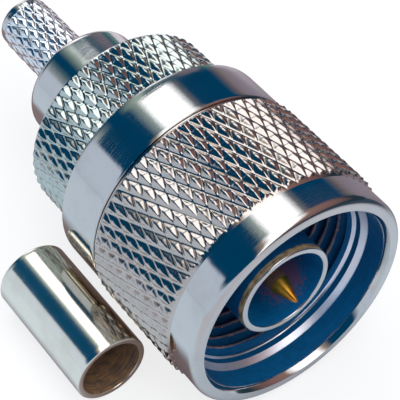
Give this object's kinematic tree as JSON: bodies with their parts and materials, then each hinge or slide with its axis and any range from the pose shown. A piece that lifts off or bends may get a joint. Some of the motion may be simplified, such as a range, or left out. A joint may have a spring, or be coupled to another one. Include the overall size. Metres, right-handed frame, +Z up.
{
  "type": "coaxial cable plug",
  "caption": "Nickel-plated coaxial plug with a knurled coupling nut that turns on its body, a gold centre pin, a crimp stem and a loose crimp ferrule.",
  "frame": {"origin": "centre of the outer contact's front face, the plane that meets the mating socket's outer contact", "axes": "+Y along the plug towards the cable, +Z up, +X to the right seen from the mating face; the plug lies along Y on its nut's crests, as it comes to rest on a table"},
  "size_m": [0.0248, 0.0387, 0.0198],
  "materials": {
    "bright_nickel": "polished",
    "ferrule_nickel": "polished",
    "gold_plate": "polished",
    "spring_bronze": "satin",
    "fluoroplastic": "satin",
    "silicone": "matte"
  },
  "bodies": {
    "plug": {"body": "bright_nickel", "outer_contact": "bright_nickel", "front_insulator": "fluoroplastic", "contact_pin": "gold_plate", "rear_insulator": "fluoroplastic", "gasket": "silicone", "retaining_ring": "spring_bronze", "crimp_stem": "bright_nickel", "crimp_ferrule": "ferrule_nickel"},
    "nut": {"coupling_nut": "bright_nickel"}
  },
  "joints": [
    {"name": "nut_turn", "type": "hinge", "parent": "plug", "child": "nut", "pos_m": [0, 0.0098, 0], "axis": [0, 1, 0], "continuous": true}
  ]
}
